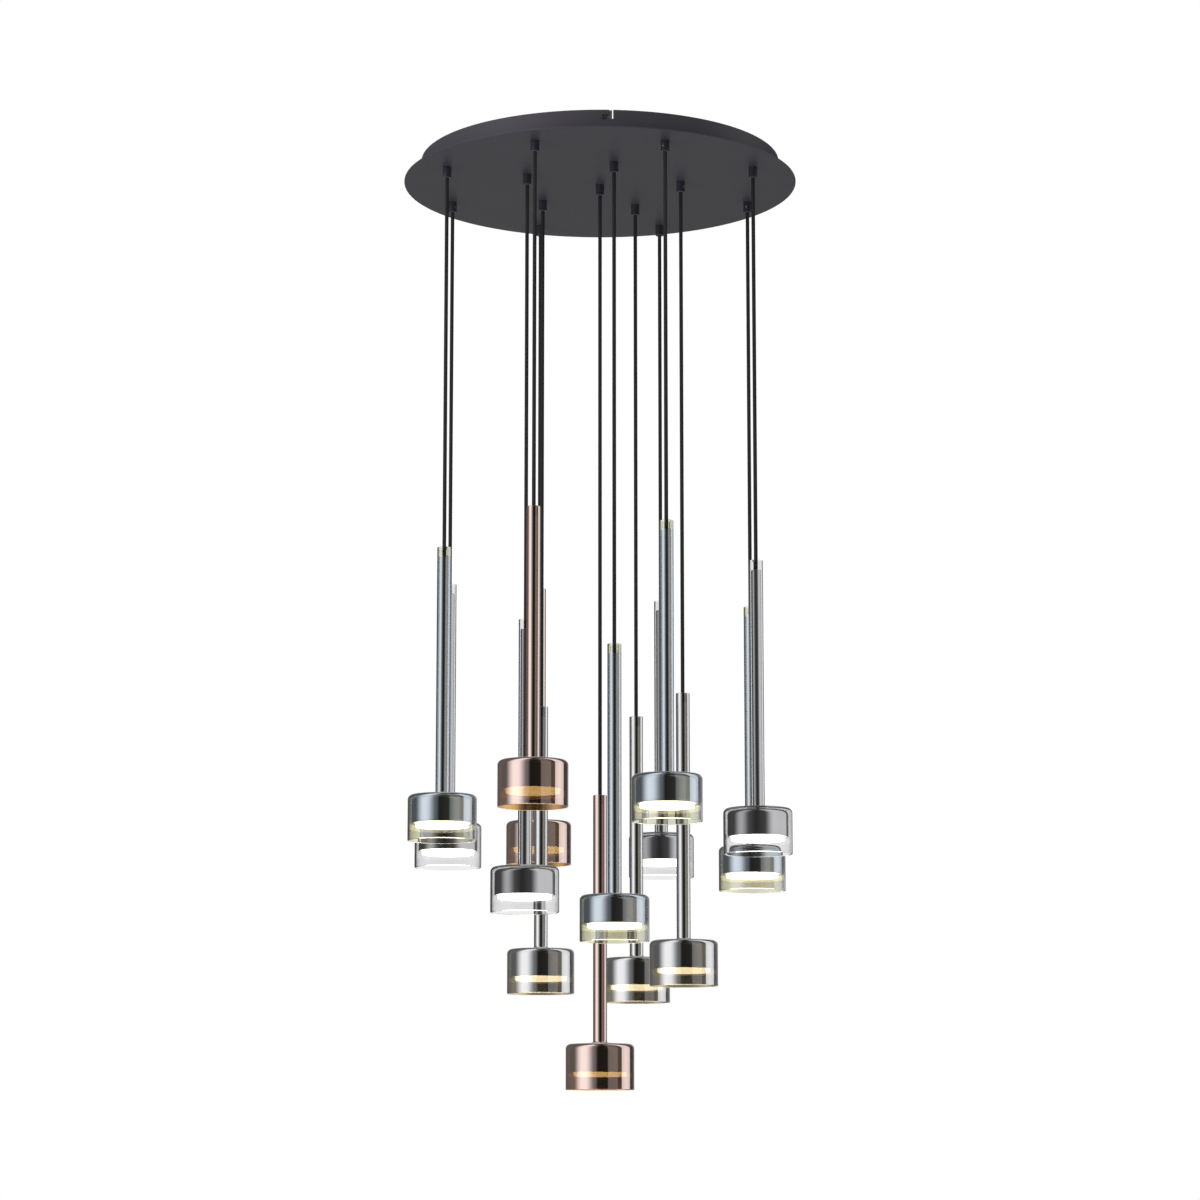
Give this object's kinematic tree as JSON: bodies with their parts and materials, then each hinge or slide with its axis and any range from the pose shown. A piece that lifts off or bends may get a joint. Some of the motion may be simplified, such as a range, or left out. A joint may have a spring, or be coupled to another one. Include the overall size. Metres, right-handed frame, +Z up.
{
  "type": "cluster pendant",
  "caption": "Round ceiling canopy with a cluster of blown glass pendants on straight cables of stepped lengths, each a glass stem and drum over a lit disc.",
  "frame": {"origin": "centre of the ceiling bracket's top face, which lies on the ceiling", "axes": "+Z up to the ceiling, -Y the front, +X to the right seen from the front"},
  "size_m": [0.6999, 0.7, 1.6445],
  "materials": {
    "bracket_steel": "zinc-plated sheet steel",
    "zinc": "bright zinc plate",
    "black_screw": "black oxide",
    "brass": "plain brass",
    "canopy_paint": "satin anthracite powder coat",
    "grip_black": "satin black",
    "driver_case": "white moulded case",
    "terminal_plastic": "natural nylon",
    "cable_black": "smooth black sheath",
    "wire_white": "white PVC sheath",
    "lamp_chrome": "polished dark chrome",
    "lamp_opal": "opal diffuser, lit",
    "seat_silicone": "clear silicone",
    "glass_clear": "clear blown glass",
    "glass_amber": "amber blown glass",
    "glass_smoke": "smoke-grey blown glass",
    "glass_copper": "copper metallised blown glass"
  },
  "bodies": {
    "ceiling_frame": {"ceiling_bracket": "bracket_steel", "weld_nuts": "zinc", "side_screws": "black_screw", "earth_screw": "brass"},
    "canopy": {"canopy_face": "canopy_paint", "canopy_collar": "canopy_paint", "cord_grips": "grip_black", "grip_nuts": "zinc", "cable_ends": "cable_black", "lead_connectors": "terminal_plastic", "driver_wires": "wire_white", "led_drivers": "driver_case", "driver_terminals": "terminal_plastic", "mains_terminal": "terminal_plastic", "mains_wires": "wire_white"},
    "pendant_01": {"cable_01": "cable_black", "glass_01": "glass_amber", "lamp_01": "lamp_chrome"},
    "pendant_02": {"cable_02": "cable_black", "glass_02": "glass_clear", "lamp_02": "lamp_chrome"},
    "pendant_03": {"cable_03": "cable_black", "glass_03": "glass_clear", "lamp_03": "lamp_chrome"},
    "pendant_04": {"cable_04": "cable_black", "glass_04": "glass_copper", "lamp_04": "lamp_chrome"},
    "pendant_05": {"cable_05": "cable_black", "glass_05": "glass_copper", "lamp_05": "lamp_chrome"},
    "pendant_06": {"cable_06": "cable_black", "glass_06": "glass_smoke", "lamp_06": "lamp_chrome"},
    "pendant_07": {"cable_07": "cable_black", "glass_07": "glass_copper", "lamp_07": "lamp_chrome"},
    "pendant_08": {"cable_08": "cable_black", "glass_08": "glass_amber", "lamp_08": "lamp_chrome"},
    "pendant_09": {"cable_09": "cable_black", "glass_09": "glass_smoke", "lamp_09": "lamp_chrome"},
    "pendant_10": {"cable_10": "cable_black", "glass_10": "glass_clear", "lamp_10": "lamp_chrome"},
    "pendant_11": {"cable_11": "cable_black", "glass_11": "glass_amber", "lamp_11": "lamp_chrome"},
    "pendant_12": {"cable_12": "cable_black", "glass_12": "glass_smoke", "lamp_12": "lamp_chrome"},
    "pendant_13": {"cable_13": "cable_black", "glass_13": "glass_amber", "lamp_13": "lamp_chrome"},
    "pendant_14": {"cable_14": "cable_black", "glass_14": "glass_clear", "lamp_14": "lamp_chrome"}
  },
  "joints": [
    {"name": "canopy_turn", "type": "hinge", "parent": "ceiling_frame", "child": "canopy", "pos_m": [0, 0, -0.02], "axis": [0, 0, 1], "range_deg": [-2.4, 0]},
    {"name": "swing_01", "type": "hinge", "parent": "canopy", "child": "pendant_01", "pos_m": [-0.26885, -0.11136, -0.0595], "axis": [0, 1, 0], "range_deg": [-3.5, 6]},
    {"name": "swing_02", "type": "hinge", "parent": "canopy", "child": "pendant_02", "pos_m": [-0.26885, 0.11136, -0.0595], "axis": [0, 1, 0], "range_deg": [-4, 6]},
    {"name": "swing_03", "type": "hinge", "parent": "canopy", "child": "pendant_03", "pos_m": [-0.12882, -0.06764, -0.0595], "axis": [0, 1, 0], "range_deg": [-2, 3.5]},
    {"name": "swing_04", "type": "hinge", "parent": "canopy", "child": "pendant_04", "pos_m": [-0.11136, -0.26885, -0.0595], "axis": [0, 1, 0], "range_deg": [-5, 6]},
    {"name": "swing_05", "type": "hinge", "parent": "canopy", "child": "pendant_05", "pos_m": [-0.11136, 0.26885, -0.0595], "axis": [0, 1, 0], "range_deg": [-4.5, 6]},
    {"name": "swing_06", "type": "hinge", "parent": "canopy", "child": "pendant_06", "pos_m": [-0.10413, 0.10162, -0.0595], "axis": [0, 1, 0], "range_deg": [-1.5, 4]},
    {"name": "swing_07", "type": "hinge", "parent": "canopy", "child": "pendant_07", "pos_m": [0, 0, -0.0595], "axis": [0, 1, 0], "range_deg": [-2.5, 4]},
    {"name": "swing_08", "type": "hinge", "parent": "canopy", "child": "pendant_08", "pos_m": [0.02451, -0.14342, -0.0595], "axis": [0, 1, 0], "range_deg": [-4, 2]},
    {"name": "swing_09", "type": "hinge", "parent": "canopy", "child": "pendant_09", "pos_m": [0.06447, 0.13044, -0.0595], "axis": [0, 1, 0], "range_deg": [-5.5, 1.5]},
    {"name": "swing_10", "type": "hinge", "parent": "canopy", "child": "pendant_10", "pos_m": [0.11136, 0.26885, -0.0595], "axis": [0, 1, 0], "range_deg": [-6, 4.5]},
    {"name": "swing_11", "type": "hinge", "parent": "canopy", "child": "pendant_11", "pos_m": [0.11136, -0.26885, -0.0595], "axis": [0, 1, 0], "range_deg": [-6, 4.5]},
    {"name": "swing_12", "type": "hinge", "parent": "canopy", "child": "pendant_12", "pos_m": [0.14398, -0.021, -0.0595], "axis": [0, 1, 0], "range_deg": [-6, 2.5]},
    {"name": "swing_13", "type": "hinge", "parent": "canopy", "child": "pendant_13", "pos_m": [0.26885, 0.11136, -0.0595], "axis": [0, 1, 0], "range_deg": [-6, 6]},
    {"name": "swing_14", "type": "hinge", "parent": "canopy", "child": "pendant_14", "pos_m": [0.26885, -0.11136, -0.0595], "axis": [0, 1, 0], "range_deg": [-6, 6]}
  ]
}
